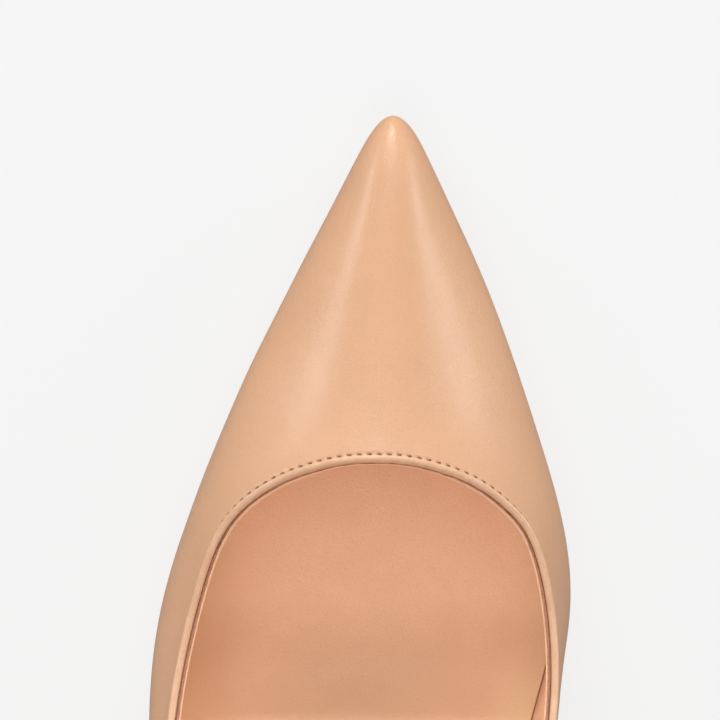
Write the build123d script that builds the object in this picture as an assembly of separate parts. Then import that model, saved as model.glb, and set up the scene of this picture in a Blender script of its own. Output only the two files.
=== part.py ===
"""High heel pump, left foot, EU 37, with a 100 mm stiletto heel.

Every layer of the shoe is worked out from one set of rails, which are smooth closed lines
around the shoe: the feather line at the bottom, the bulge where the upper is widest, and the
topline at the foot opening. Stations run from the toe tip (0) down the outer side, round the
back of the heel (BACK) and up the inner side to the toe again (STATIONS).

While it is being built, a place is (x, d, z): x is across, positive towards the inner side of
the foot, d is the distance behind the toe tip and z is the height above the ground, all in mm.
The finished solids are then turned into the part's own frame, +Y towards the toe and +Z up.
"""
from build123d import *
import math
import os
import numpy as np

# ---- driving dimensions, mm -------------------------------------------------------------
TREAD_START = 52.0        # behind the toe tip, where the sole meets the ground
TREAD_END = 92.0          # where the sole leaves the ground at the ball of the foot
TOE_SPRING = 5.0          # height of the sole under the toe tip
SHOE_WIDTH_HALF = 70.0    # more than half the width, for cutters that pass through

SOLE = 2.3                # outsole thickness
GLUE = 0.1                # gap between stacked layers
UPPER = 0.95              # upper leather
FOLD = 1.35               # turned topline edge, both layers of leather
BACKING_TOP = 1.0         # backing layer's outer side, below the upper's outer surface
BACKING = 1.55            # backing layer's inner side
TAPE_TOP = 1.40           # topline tape, outer side
LINING_TOP = 1.65         # lining's outer side
LINING = 2.4              # lining's inner side, so the whole wall's thickness
MARGIN = 12.0             # width of leather turned under the insole

BOARD_LOW = SOLE + GLUE + LINING + GLUE     # underside of the insole boards
BOARD_STEP = BOARD_LOW + 1.0                # where the full board lies on the shank board
BOARD_HIGH = BOARD_LOW + 2.1                # top of the insole board
PAD_HIGH = BOARD_HIGH + GLUE + 1.5
SOCK_HIGH = PAD_HIGH + GLUE + 0.9

# ---- rails: outer side, inner side, from the toe tip to the back --------------------------
TIP_BULGE, BACK_BULGE = (0.0, 0.0), (-7.0, 224.6)
BULGE_OUTER = [(-3.6, 2.5), (-7.1, 8.4), (-12.1, 18), (-19.0, 31.2), (-26.6, 46.4), (-33.3, 61.6),
               (-39.1, 76.8), (-43.7, 92), (-45.8, 107.2), (-45.6, 124), (-43.2, 141),
               (-39.8, 158), (-37.0, 174), (-35.8, 189), (-33.6, 204.5), (-24.6, 218.6)]
BULGE_INNER = [(3.6, 2.5), (6.9, 8.4), (11.4, 18), (17.3, 31.2), (23.0, 46.4), (27.9, 61.6),
               (32.1, 76.8), (33.6, 92), (31.2, 107.2), (27.0, 124), (23.8, 141),
               (21.4, 158), (20.6, 174), (21.4, 189), (19.6, 204.5), (10.6, 218.6)]

TIP_FEATHER, BACK_FEATHER = (0.0, 1.8), (-7.0, 221.5)
FEATHER_OUTER = [(-2.9, 4.2), (-6.2, 9.8), (-10.9, 19), (-17.2, 32), (-24.4, 47), (-31.0, 62),
                 (-36.8, 77), (-41.0, 92), (-42.6, 107), (-41.0, 124), (-36.8, 141),
                 (-32.8, 158), (-31.3, 174), (-32.0, 189), (-30.4, 204), (-22.6, 216.2)]
FEATHER_INNER = [(2.9, 4.2), (6.1, 9.8), (10.3, 19), (15.7, 32), (21.2, 47), (26.0, 62),
                 (30.0, 77), (31.2, 92), (27.4, 107), (20.8, 124), (16.4, 141),
                 (13.8, 158), (14.2, 174), (17.0, 189), (16.4, 204), (8.6, 216.2)]

TIP_TOPLINE, BACK_TOPLINE = (-3.4, 65.2, 38.5), (-7.0, 220.5, 143.0)
TOPLINE_OUTER = [(-7.2, 65.3, 38.4), (-11.4, 65.8, 38.1), (-15.9, 66.9, 37.5), (-20.7, 68.55, 36.6),
                 (-25.7, 71.3, 35.5), (-30.45, 75.4, 34.2), (-34.5, 82.1, 33.0), (-38.0, 93, 32.4),
                 (-41.1, 107.2, 36.0), (-42.7, 124, 46.5), (-41.7, 141, 63.0), (-38.8, 158, 81.5),
                 (-35.9, 175, 99.5), (-33.7, 190, 114.5), (-29.8, 204, 127.5), (-20.9, 215.5, 138.0)]
TOPLINE_INNER = [(0.4, 65.3, 38.4), (4.4, 65.8, 38.1), (8.7, 66.8, 37.6), (13.1, 68.3, 36.9),
                 (17.75, 70.7, 36.0), (22.2, 74.2, 35.0), (26.5, 79.9, 34.0), (29.7, 91.5, 34.0),
                 (30.6, 107, 38.4), (28.9, 124, 49.5), (26.6, 141, 66.5), (23.9, 158, 84.5),
                 (21.5, 175, 101.5), (19.4, 190, 116), (15.8, 204, 128.5), (6.9, 215.5, 138.4)]

# Angle above level at which the upper arrives at the topline, from the toe to the back.
ARRIVAL = [25, 26, 29, 34, 41, 49, 57, 65, 72, 77, 80, 82, 83, 83, 82, 80, 78, 77]
BACK = len(BULGE_OUTER) + 1
STATIONS = 2 * BACK


def smooth_loop(knots):
    """A smooth closed curve through the rows of knots, one unit of t apart."""
    p = np.asarray(knots, float)
    n = len(p)
    one = np.eye(n)
    ahead, behind = np.roll(p, -1, 0), np.roll(p, 1, 0)
    bend = np.linalg.solve(4 * one + np.roll(one, 1, 0) + np.roll(one, -1, 0), 6 * (ahead - 2 * p + behind))

    def at(t):
        t = np.asarray(t, float) % n
        i = np.floor(t).astype(int) % n
        f = (t - np.floor(t))[..., None]
        g, j = 1 - f, (i + 1) % n
        return g * p[i] + f * p[j] + ((g**3 - g) * bend[i] + (f**3 - f) * bend[j]) / 6

    return at


def rail(tip, outer, back, inner):
    return smooth_loop([tip, *outer, back, *reversed(inner)])


bulge = rail(TIP_BULGE, BULGE_OUTER, BACK_BULGE, BULGE_INNER)
feather = rail(TIP_FEATHER, FEATHER_OUTER, BACK_FEATHER, FEATHER_INNER)
topline = rail(TIP_TOPLINE, TOPLINE_OUTER, BACK_TOPLINE, TOPLINE_INNER)
arrival = smooth_loop([[math.radians(a)] for a in [*ARRIVAL, *reversed(ARRIVAL[1:-1])]])

# ---- side profile of the sole ---------------------------------------------------------------
WAIST_KNOTS = [(TREAD_END, 0), (105, 2.5), (120, 11.2), (135, 26.0), (150, 43.2), (165, 59.8),
               (180, 73.8), (195, 84.2), (210, 91.2), (228, 96.4)]


def clamped_spline(knots):
    """A smooth curve z(d) through the knots, level at its first one."""
    d, z = np.array(knots, float).T
    step = np.diff(d)
    n = len(d)
    a, b = np.zeros((n, n)), np.zeros(n)
    a[0, :2], b[0] = (2 * step[0], step[0]), 6 * (z[1] - z[0]) / step[0]
    a[-1, -1] = 1
    for i in range(1, n - 1):
        a[i, i - 1:i + 2] = step[i - 1], 2 * (step[i - 1] + step[i]), step[i]
        b[i] = 6 * ((z[i + 1] - z[i]) / step[i] - (z[i] - z[i - 1]) / step[i - 1])
    bend = np.linalg.solve(a, b)

    def at(x):
        i = np.clip(np.searchsorted(d, x) - 1, 0, n - 2)
        h, f = step[i], (x - d[i]) / step[i]
        g = 1 - f
        return g * z[i] + f * z[i + 1] + ((g**3 - g) * bend[i] + (f**3 - f) * bend[i + 1]) * h * h / 6

    return at


waist = clamped_spline(WAIST_KNOTS)
PROFILE_D = np.concatenate([np.linspace(-8, TREAD_START, 31), np.linspace(TREAD_END, 236, 97)])


def ground_line(d):
    """Height of the outsole's underside."""
    toe = TOE_SPRING * np.clip(1 - d / TREAD_START, 0, None) ** 2
    return np.where(d < TREAD_START, toe, np.where(d > TREAD_END, waist(np.clip(d, TREAD_END, None)), 0.0))


def raised_line(height):
    """Points (d, z) of the ground line moved out by height along its own normal."""
    slope = (ground_line(PROFILE_D + 0.01) - ground_line(PROFILE_D - 0.01)) / 0.02
    size = np.hypot(1, slope)
    return PROFILE_D - height * slope / size, ground_line(PROFILE_D) + height / size


def bed(d, height):
    """Height above the ground, at d, of the layer line that lies height above the outsole's underside."""
    return np.interp(d, *raised_line(height))


# ---- outer surface of the upper -------------------------------------------------------------
def cubic(p0, p1, p2, p3, f):
    g = 1 - f
    return g**3 * p0 + 3 * g * g * f * p1 + 3 * g * f * f * p2 + f**3 * p3


def inward(t):
    """Level direction (x, d) in which the upper runs from its bulge towards the topline."""
    b, u = bulge(t), topline(t)[..., :2]
    along = bulge(np.asarray(t) + 0.02) - bulge(np.asarray(t) - 0.02)
    side = np.stack([along[..., 1], -along[..., 0]], -1)
    side /= np.linalg.norm(side, axis=-1, keepdims=True)
    way = (u - b) + 5.0 * side
    return way / np.linalg.norm(way, axis=-1, keepdims=True)


def feather_place(t):
    """Where the wall turns under at the bottom."""
    f = feather(t)
    return np.concatenate([f, bed(f[..., 1], SOLE + GLUE)[..., None]], -1)


def margin_edge(t, depth, width):
    """Inner edge of the leather turned under the insole."""
    plan = feather(t) + inward(t) * width
    return np.concatenate([plan, bed(plan[..., 1], SOLE + GLUE + depth)[..., None]], -1)


def bulge_height(d):
    """Height of the widest line above the outsole's underside."""
    return 7.6 + 14.4 * np.clip(d / 175, 0, 1)


def wall(t, r):
    """Outer surface of the upper: r is 0 at the feather line, 1 at the bulge and 2 at the topline."""
    t, r = np.broadcast_arrays(np.asarray(t, float), np.asarray(r, float))
    way = np.concatenate([inward(t), np.zeros(t.shape + (1,))], -1)
    up = np.array([0, 0, 1.0])
    low, plan, top = feather_place(t), bulge(t), topline(t)
    mid = np.concatenate([plan, (ground_line(plan[..., 1]) + bulge_height(plan[..., 1]))[..., None]], -1)
    reach = np.linalg.norm(mid - low, axis=-1, keepdims=True)
    flare = (up - way) / math.sqrt(2)
    below = cubic(low, low + 0.35 * reach * flare, mid - 0.4 * reach * up, mid, np.clip(r, 0, 1)[..., None])
    span = np.linalg.norm(top - mid, axis=-1, keepdims=True)
    angle = arrival(t)
    end_way = way * np.cos(angle) + up * np.sin(angle)
    above = cubic(mid, mid + (6 + 0.05 * span) * up, top - 0.4 * span * end_way, top, np.clip(r - 1, 0, 1)[..., None])
    return np.where((r < 1)[..., None], below, above)


def wall_normal(t, r):
    """Outward unit normal of the wall."""
    r = np.clip(np.asarray(r, float), 0.02, 1.98)
    along = wall(np.asarray(t) + 0.01, r) - wall(np.asarray(t) - 0.01, r)
    rise = wall(t, r + 0.01) - wall(t, r - 0.01)
    n = np.cross(rise, along)
    return n / np.linalg.norm(n, axis=-1, keepdims=True)


def wall_inside(t, r, depth):
    return wall(t, r) - depth * wall_normal(t, r)


def meeting(t, depth, height):
    """The r at which a surface depth inside the wall meets the layer line at height above the outsole's underside."""
    r = np.linspace(0, 1.6, 97)
    inside = wall_inside(t, r, depth)
    above = inside[:, 2] - bed(inside[:, 1], height)
    k = int(np.argmax(above > 1e-9))
    return 0.0 if k == 0 else float(r[k - 1] + (r[k] - r[k - 1]) * above[k - 1] / (above[k - 1] - above[k]))


def near_top(t, distance):
    """The wall's r at a distance below the topline."""
    top, plan = topline(t), bulge(t)
    mid = np.append(plan, ground_line(plan[1]) + bulge_height(plan[1]))
    return 2 - distance / (1.2 * np.linalg.norm(top - mid))


# ---- turning places into solids ---------------------------------------------------------------
SKIN = wall(np.linspace(0, STATIONS, 681)[:, None], np.linspace(0, 2, 41))[..., :2].reshape(-1, 2)
MIDDLE_X, MIDDLE_D = (SKIN.min(0) + SKIN.max(0)) / 2


def place(p):
    """The point of the part's own frame for a place (x, d, z)."""
    return Vector(float(p[0] - MIDDLE_X), float(MIDDLE_D - p[1]), float(p[2]))


def through(row):
    """Control points of the curve that passes through a row of places at even parameters."""
    n = len(row) - 1
    f, k = np.linspace(0, 1, n + 1)[:, None], np.arange(n + 1)
    share = np.array([math.comb(n, j) for j in k]) * f**k * (1 - f) ** (n - k)
    return np.linalg.solve(share, np.asarray(row))


def patch(rows):
    """A smooth face from rows of control places."""
    return Face.make_bezier_surface([[place(p) for p in row] for row in rows])


def cell_sides(cell):
    """The four rows of places round a cell, which is an outer and an inner row."""
    outer, inner = cell
    return [outer, inner, [outer[0], inner[0]], [outer[-1], inner[-1]]]


def along_stations(cells, start, end, step):
    """A solid that carries a group of cells from one station to another. cells(t) are the cells at station t.

    A row that two cells share lies inside the solid, so it makes no face.
    """
    h = 0.02
    stations = np.linspace(start, end, max(2, round((end - start) / step)) + 1)
    at, before, after = ([[row for c in cells(t + e) for row in cell_sides(c)] for t in stations] for e in (0, -h, h))
    keys = [tuple(np.round(np.mean(row, 0), 4)) for row in at[1]]
    faces = []
    for side in [i for i, key in enumerate(keys) if keys.count(key) == 1]:
        rows = [through(a[side]) for a in at]
        slopes = [(through(b[side]) - through(a[side])) / (2 * h) for a, b in zip(before, after)]
        for k in range(len(stations) - 1):
            third = (stations[k + 1] - stations[k]) / 3
            faces.append(patch([rows[k], rows[k] + third * slopes[k], rows[k + 1] - third * slopes[k + 1], rows[k + 1]]))
    for t in (stations[0], stations[-1]):
        faces += [patch([through(outer), through(inner)]) for outer, inner in cells(t)]
    return Solid(Shell(faces))


def wall_row(t, depth, low, high, count=6):
    return [wall_inside(t, r, depth) for r in np.linspace(low, high, count)]


def layer(start, end, outer, inner, margin=MARGIN, top=0.0, fold=None, gap=0.012, step=0.75):
    """One full layer of the shoe's wall: the margin under the insole, then up to a distance top below the topline.

    outer and inner are depths below the upper's outer surface. fold is the (depth, distance) of a turned edge.
    top may depend on the station.
    """
    def cells(t):
        high = near_top(t, top(t) if callable(top) else top)
        turn = near_top(t, fold[1]) if fold else high
        rows = {}
        for depth in (outer, inner):
            low = meeting(t, depth, SOLE + GLUE + depth)
            under = [margin_edge(t, depth, margin), margin_edge(t, depth, margin / 2)]
            rows[depth] = [[*under, wall_inside(t, low, depth)], wall_row(t, depth, low, 1), wall_row(t, depth, 1, turn)]
        group = list(zip(rows[outer], rows[inner]))
        if fold:
            outside, middle, inside = (wall_row(t, depth, turn, high, 4) for depth in (outer, inner, fold[0]))
            group += [(outside, middle), (middle, inside)]
        return group

    return along_stations(cells, start + gap, end - gap, step)


def strip(start, end, outer, inner, low, top, gap=0.012, step=0.75, count=4):
    """A layer that only runs between two distances below the topline, low and top. low may depend on the station."""
    def cells(t):
        a, b = near_top(t, low(t) if callable(low) else low), near_top(t, top)
        return [(wall_row(t, outer, a, b, count), wall_row(t, inner, a, b, count))]

    return along_stations(cells, start + gap, end - gap, step)


def curve(points):
    """A smooth edge through places at even parameters, or a straight one where there are only two."""
    ends = [place(p) for p in points]
    if len(ends) == 2:
        return Edge.make_line(*ends)
    return Edge.make_spline(ends, parameters=np.linspace(0, 1, len(ends)).tolist())


def loop_of(runs):
    """A closed wire that follows each run of places in turn, with a straight edge across any gap between runs."""
    edges = []
    for before, points in zip([runs[-1], *runs[:-1]], runs):
        if np.linalg.norm(np.subtract(before[-1], points[0])) > 1e-6:
            edges.append(curve([before[-1], points[0]]))
        edges.append(curve(points))
    return Wire(edges)


# ---- bottom layers: an outline seen from above, cut to a band of the side profile ------------------
def prism(runs):
    """Everything above and below a closed outline (x, d)."""
    wire = loop_of([[(x, d, -20.0) for x, d in run] for run in runs])
    return Solid.extrude(Face(wire), Vector(0, 0, 200))


def profile_line(height, start, end):
    """The layer line at a height above the outsole's underside, as runs from start to end: toe, tread and waist."""
    stops = [start, *[d for d in (TREAD_START, TREAD_END) if start < d < end], end]
    runs = []
    for a, b in zip(stops, stops[1:]):
        count = 2 if a >= TREAD_START and b <= TREAD_END else max(5, round((b - a) / 7))
        d = np.linspace(a, b, count)
        runs.append(list(zip(d, bed(d, height))))
    return runs


def band(low, high, start=-6.0, end=232.0):
    """The space between two layer lines, right across the shoe."""
    under = profile_line(low, start, end)
    over = [run[::-1] for run in reversed(profile_line(high, start, end))]
    runs = [[(-SHOE_WIDTH_HALF, d, z) for d, z in run] for run in [*under, *over]]
    return Solid.extrude(Face(loop_of(runs)), Vector(2 * SHOE_WIDTH_HALF, 0, 0))


def cut_to(solid, other):
    """The one solid that two solids share."""
    return (solid & other).solids().sort_by(SortBy.VOLUME)[-1]


def lining_outline(height, clearance):
    """Closed outline of the shoe's inside at a layer height, kept clear of the lining and cut off blunt at the toe."""
    depth, points = LINING + clearance, []
    for t in np.linspace(BLUNT, STATIONS - BLUNT, 2 * (STATIONS - 2 * BLUNT) + 1):
        points.append(tuple(wall_inside(t, meeting(t, depth, height), depth)[:2]))
    return [points]


def feather_outline(inset):
    """Closed outline that lies inset from the feather line."""
    points = [tuple(feather(t) + inward(t) * inset) for t in np.linspace(0, STATIONS, 2 * STATIONS, endpoint=False)]
    return [points + points[:1]]


def feather_run(start, end, inset, count):
    return [tuple(feather(t) + inward(t) * inset) for t in np.linspace(start, end, count)]


# ---- heel: sections from the seat down to the tip --------------------------------------------------
BLUNT = 1                      # station at which the insole and sock are cut off at the toe
BREAST_STATION = 12.8          # where the heel's front face meets the feather line
HEEL_X = -7.4                  # centre of the heel, across
HEEL_WRAP = 0.7                # leather that covers the heel
TOP_PIECE = 5.0                # thickness of the tip that touches the ground
TIP_CENTRE = (HEEL_X, 210.2)   # axis of the steel dowel inside the heel
SEAT_RISE = 7.0                # how far the heel is drawn on above its seat before the seat trims it
# front (d, z), back (d, z), half width, share of the tip's shape
HEEL_SECTIONS = [((171.0, 68.0 + SEAT_RISE), (221.5, 98.0 + SEAT_RISE), 24.7, 0.0),
                 ((171.0, 68.5), (221.5, 98.5), 24.7, 0.0),
                 ((180.0, 61.5), (219.4, 87.5), 19.6, 0.15),
                 ((190.0, 53.5), (217.6, 74.0), 13.4, 0.4),
                 ((197.6, 43.5), (216.4, 60.0), 9.3, 0.65),
                 ((202.4, 32.0), (215.7, 44.0), 6.9, 0.85),
                 ((204.6, 18.5), (215.3, 24.0), 5.6, 1.0),
                 ((205.2, TOP_PIECE + GLUE), (215.2, TOP_PIECE + GLUE), 5.1, 1.0)]


def seat_shape(count=13):
    """The seat's back curve as (across, along) shares, from one breast corner round the back to the other."""
    run = np.array(feather_run(BREAST_STATION, STATIONS - BREAST_STATION, 0, count))
    front, back, width = run[0, 1], run[:, 1].max(), 24.7
    return np.stack([(run[:, 0] - HEEL_X) / width, (run[:, 1] - front) / (back - front)], -1)


def tip_shape(count=13):
    """A round D as (across, along) shares, from one front corner round the back to the other."""
    angle = np.radians(np.linspace(-132, 132, count))
    along = 0.5 + 0.5 * np.cos(angle)
    return np.stack([np.sin(angle), (along - along.min()) / (1 - along.min())], -1)


def heel_section(front, back, half_width, tip_share, inset):
    front, back = np.array(front, float), np.array(back, float)
    way = (back - front) / np.linalg.norm(back - front)
    front, back = front + way * inset, back - way * inset
    shape = (1 - tip_share) * seat_shape() + tip_share * tip_shape()
    points = [(HEEL_X + across * (half_width - inset), *(front + along * (back - front))) for across, along in shape]
    hollow = 0.02 * np.linalg.norm(back - front) * (1 - tip_share)
    middle = (np.array(points[0]) + points[-1]) / 2 + np.array([0, *(way * hollow)])
    return loop_of([points, [points[-1], tuple(middle), points[0]]])


def heel_form(inset):
    """The whole heel, drawn in by inset, trimmed to the underside of the seat."""
    solid = Solid.make_loft([heel_section(*row, inset) for row in HEEL_SECTIONS])
    return cut_to(solid, band(-140, SOLE, 150, 232))


def upright(centre, radius, low, high):
    """A round bar along Z."""
    return Solid.make_cylinder(radius, high - low, Plane(place((*centre, low))))


def across_seat(x, d, radius, low, high):
    """A round bar square to the seat at d, between two layer heights."""
    slope = float((ground_line(np.array(d + 0.5)) - ground_line(np.array(d - 0.5))))
    normal = Vector(0, slope, 1).normalized()
    foot = place((x, d, float(bed(d, 0.0))))
    return Solid.make_cylinder(radius, high - low, Plane(foot + normal * low, z_dir=normal))


# ---- the pieces ------------------------------------------------------------------------------------
SEAM = 11.4                    # station of the side seams between vamp and quarters
LINING_SEAM = 11.0             # station of the side seams in the lining
PUFF_END = 4.6                 # station where the toe puff ends on each side
COUNTER_START = 12.4           # station where the heel counter starts
FOLD_WIDTH = 5.0               # width of leather turned in along the topline
WAIST_BREAK = 128.0            # d where the forefoot pad meets the heel pad
FASTENER_D = 197.0             # d of the screw that holds the heel
NAIL_RING = 10.0               # how far the heel nails stand from the screw
RIVET_D = (122.0, 160.0)       # d of the rivets that hold the shank
CLEAR = 0.05                   # how much wider a hole is than what goes through it


def upper_pieces():
    fold = (FOLD, FOLD_WIDTH)
    return {
        "vamp": layer(-SEAM, SEAM, 0, UPPER, fold=fold),
        "quarter_outer": layer(SEAM, BACK, 0, UPPER, fold=fold),
        "quarter_inner": layer(BACK, STATIONS - SEAM, 0, UPPER, fold=fold),
        "vamp_lining": layer(-LINING_SEAM, LINING_SEAM, LINING_TOP, LINING, margin=10, top=0.3),
        "quarter_lining": layer(LINING_SEAM, STATIONS - LINING_SEAM, LINING_TOP, LINING, margin=10, top=0.3),
        "topline_tape": strip(-BACK, BACK, TAPE_TOP, 1.6, low=3.6, top=0.6),
        "topline_stitching": strip(-BACK, BACK, -0.3, -0.02, low=2.3, top=1.9),
        "heel_grip": strip(14.4, STATIONS - 14.4, LINING + 0.1, LINING + 0.6, low=24.0, top=4.0, count=6),
    }


def puff_end(t):
    """Distance below the topline at which the toe puff stops."""
    return 29 - 16 * (t / PUFF_END) ** 2


def stiffeners():
    inner_end = FOLD_WIDTH + 0.4
    between = (BACKING_TOP, BACKING)
    return {
        "toe_puff": layer(-PUFF_END, PUFF_END, *between, margin=8, top=puff_end),
        "vamp_backing": strip(-PUFF_END, PUFF_END, *between, low=lambda t: puff_end(t) - 0.5, top=inner_end),
        "side_backing_outer": layer(PUFF_END, COUNTER_START, *between, margin=8, top=inner_end),
        "side_backing_inner": layer(-COUNTER_START, -PUFF_END, *between, margin=8, top=inner_end),
        "heel_counter": layer(COUNTER_START, STATIONS - COUNTER_START, *between, margin=9, top=inner_end),
    }


def fasteners(grow=0.0):
    """The heel screw, the heel nails and the shank's rivets. With grow they are the wider holes, open at the top."""
    low_head, high_head = BOARD_HIGH - 0.95, BOARD_HIGH + (1.0 if grow else -0.15)

    def headed(x, d, stem, head, low):
        bar = across_seat(x, d, stem + grow, low, low_head)
        return bar.fuse(across_seat(x, d, head + grow, low_head - grow, high_head)).solids()[0]

    screw = headed(HEEL_X, FASTENER_D, 2.0, 3.6, -16)
    nails = []
    for k in range(4):
        turn = 2 * math.pi * (k + 0.5) / 4
        nails.append(headed(HEEL_X + NAIL_RING * math.sin(turn), FASTENER_D + NAIL_RING * math.cos(turn), 0.9, 1.8, -9))
    rivets = [headed(HEEL_X, d, 1.2, 2.4, SOLE + 0.7) for d in RIVET_D]
    return screw, nails, rivets


def without(solid, tools):
    """The solid with holes for the tools."""
    return solid.cut(*tools).solids().sort_by(SortBy.VOLUME)[-1]


def shank():
    """A sprung steel strip with a rib pressed along its middle."""
    half, start, end = 5.5, 112.0, 202.0
    ends = [(HEEL_X - half, start + 4), (HEEL_X, start), (HEEL_X + half, start + 4)]
    tail = [(HEEL_X + half, end - 4), (HEEL_X, end), (HEEL_X - half, end - 4)]
    strip = cut_to(prism([ends, tail]), band(SOLE + 0.9, SOLE + 2.3, 100, 210))
    rib = prism([[(HEEL_X - 1.3, start + 14), (HEEL_X + 1.3, start + 14)], [(HEEL_X + 1.3, end - 12), (HEEL_X - 1.3, end - 12)]])
    return strip.fuse(cut_to(rib, band(SOLE + 0.4, SOLE + 1.0, 100, 210))).solids()[0]


def shank_slot():
    """The space that the filler leaves for the shank."""
    half = 5.8
    return prism([[(HEEL_X - half, 100), (HEEL_X + half, 100)], [(HEEL_X + half, 202.6), (HEEL_X - half, 202.6)]])


def bottom_pieces():
    screw, nails, rivets = fasteners()
    wide_screw, wide_nails, wide_rivets = fasteners(CLEAR)
    through = [wide_screw, *wide_nails, *wide_rivets]
    board = prism(lining_outline(BOARD_LOW, 0.3))
    full_board = cut_to(board, band(BOARD_STEP, BOARD_HIGH))
    fore_board = cut_to(board, band(BOARD_LOW, BOARD_STEP - GLUE, end=98.0))
    rear_board = cut_to(board, band(BOARD_LOW, BOARD_STEP - GLUE, start=98.2))
    pads = prism(lining_outline(BOARD_HIGH + GLUE, 0.4))
    sock = prism(lining_outline(PAD_HIGH + GLUE, 0.25))
    inside_margin = prism(feather_outline(MARGIN + 0.4))
    filler = band(SOLE + GLUE, SOLE + GLUE + LINING - GLUE, end=106.0)
    seat_filler = band(SOLE + GLUE, SOLE + GLUE + LINING - GLUE, start=106.2)
    sole_outline = [feather_run(0.06 - BREAST_STATION, BREAST_STATION - 0.06, -0.5, 54)]
    return {
        "insole_board": without(full_board, through),
        "forefoot_board": fore_board,
        "shank_board": without(rear_board, through),
        "shank": without(shank(), [wide_screw, *wide_rivets]),
        "shank_rivets": Compound(children=rivets),
        "heel_screw": screw,
        "heel_nails": Compound(children=nails),
        "bottom_filler": cut_to(inside_margin, filler),
        "seat_filler": without(cut_to(inside_margin, seat_filler), [shank_slot(), *through]),
        "forefoot_pad": cut_to(pads, band(BOARD_HIGH + GLUE, PAD_HIGH, end=WAIST_BREAK)),
        "heel_pad": cut_to(pads, band(BOARD_HIGH + GLUE, PAD_HIGH, start=WAIST_BREAK + 0.2)),
        "sock_lining": cut_to(sock, band(PAD_HIGH + GLUE, SOCK_HIGH)),
        "outsole": cut_to(prism(sole_outline), band(0.0, SOLE)),
    }


def heel_pieces():
    screw, nails, _ = fasteners(CLEAR)
    form, core = heel_form(0.0), heel_form(HEEL_WRAP)
    dowel_hole = upright(TIP_CENTRE, 2.5 + 0.02, 0, 58.1)
    block = without(core, [screw, *nails, dowel_hole])
    cover = without(form, [heel_form(HEEL_WRAP - 0.05)])
    tip_outline = [[(TIP_CENTRE[0] + 5.3 * x, 204.9 + 10.6 * a) for x, a in tip_shape()]]
    top_piece = cut_to(prism(tip_outline), Solid.make_box(40, 40, TOP_PIECE, Plane(place((-30, 235, 0)))))
    pin = upright(TIP_CENTRE, 1.5, 1.5, 17.0)
    return {
        "heel_block": block,
        "heel_cover": cover,
        "heel_dowel": without(upright(TIP_CENTRE, 2.5, TOP_PIECE + GLUE, 58), [upright(TIP_CENTRE, 1.53, 0, 60)]),
        "heel_top_piece": without(top_piece, [upright(TIP_CENTRE, 1.5 + CLEAR, 1.5, 10)]),
        "top_piece_pin": pin,
    }


def main():
    os.makedirs("parts", exist_ok=True)
    for name, solid in {**upper_pieces(), **stiffeners(), **bottom_pieces(), **heel_pieces()}.items():
        export_step(solid, f"parts/{name}.step")


if __name__ == "__main__":
    main()
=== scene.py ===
"""Looks of the high heel pump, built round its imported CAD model.

The upper, lining, sock and sole follow the same rails as the CAD model. A place is (x, d, z) in mm
while it is worked out: x across, d behind the toe tip, z above the ground. make_mesh() turns places
into the model's own frame, in metres. t counts stations round the shoe, from the toe tip back along
the outer side, and r goes up the wall. s is a distance below the topline.
"""
import bmesh
import bpy
import math
import numpy as np
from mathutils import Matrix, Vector


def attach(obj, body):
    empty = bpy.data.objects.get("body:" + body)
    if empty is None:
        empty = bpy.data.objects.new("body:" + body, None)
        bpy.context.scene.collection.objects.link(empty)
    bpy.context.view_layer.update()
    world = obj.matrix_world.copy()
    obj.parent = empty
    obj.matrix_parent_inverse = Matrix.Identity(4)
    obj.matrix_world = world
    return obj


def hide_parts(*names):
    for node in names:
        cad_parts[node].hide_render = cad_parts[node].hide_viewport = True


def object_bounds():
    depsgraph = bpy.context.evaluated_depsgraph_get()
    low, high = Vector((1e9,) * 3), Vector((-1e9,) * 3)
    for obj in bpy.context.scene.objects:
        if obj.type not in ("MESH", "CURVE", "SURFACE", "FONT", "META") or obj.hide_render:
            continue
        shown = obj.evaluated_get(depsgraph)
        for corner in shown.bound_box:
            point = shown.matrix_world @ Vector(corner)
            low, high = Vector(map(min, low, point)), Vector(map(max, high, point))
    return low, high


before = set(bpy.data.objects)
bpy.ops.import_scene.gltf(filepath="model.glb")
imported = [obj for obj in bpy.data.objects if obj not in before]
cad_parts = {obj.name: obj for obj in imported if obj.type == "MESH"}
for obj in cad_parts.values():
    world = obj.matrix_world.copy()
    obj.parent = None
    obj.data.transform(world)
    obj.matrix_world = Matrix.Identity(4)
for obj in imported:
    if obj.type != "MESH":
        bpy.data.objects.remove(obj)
CAD_LOW, CAD_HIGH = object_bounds()

# ---- driving dimensions, mm ----
TREAD_START = 52.0  # behind the toe tip, where the sole meets the ground
TREAD_END = 92.0  # where the sole leaves the ground at the ball of the foot
TOE_SPRING = 5.0  # height of the sole under the toe tip

SOLE = 2.3  # outsole thickness
GLUE = 0.1  # gap between stacked layers
UPPER = 0.95  # upper leather
FOLD = 1.35  # turned topline edge, both layers of leather
LINING_TOP = 1.65  # lining's outer side, below the upper's outer surface
LINING = 2.4  # lining's inner side, so the whole wall's thickness

BOARD_LOW = SOLE + GLUE + LINING + GLUE  # underside of the insole boards
BOARD_HIGH = BOARD_LOW + 2.1  # top of the insole board
PAD_HIGH = BOARD_HIGH + GLUE + 1.5  # top of the foam pads
SOCK_HIGH = PAD_HIGH + GLUE + 0.9  # top of the sock

SQUARE_PULL = 5.0  # how strongly the upper leans in square to its widest line
BULGE_HIGH = (7.6, 14.4)  # widest line above the sole at the toe, and how much higher it is at the back
BULGE_BACK = 175.0  # behind the toe tip, where that rise ends

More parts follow.
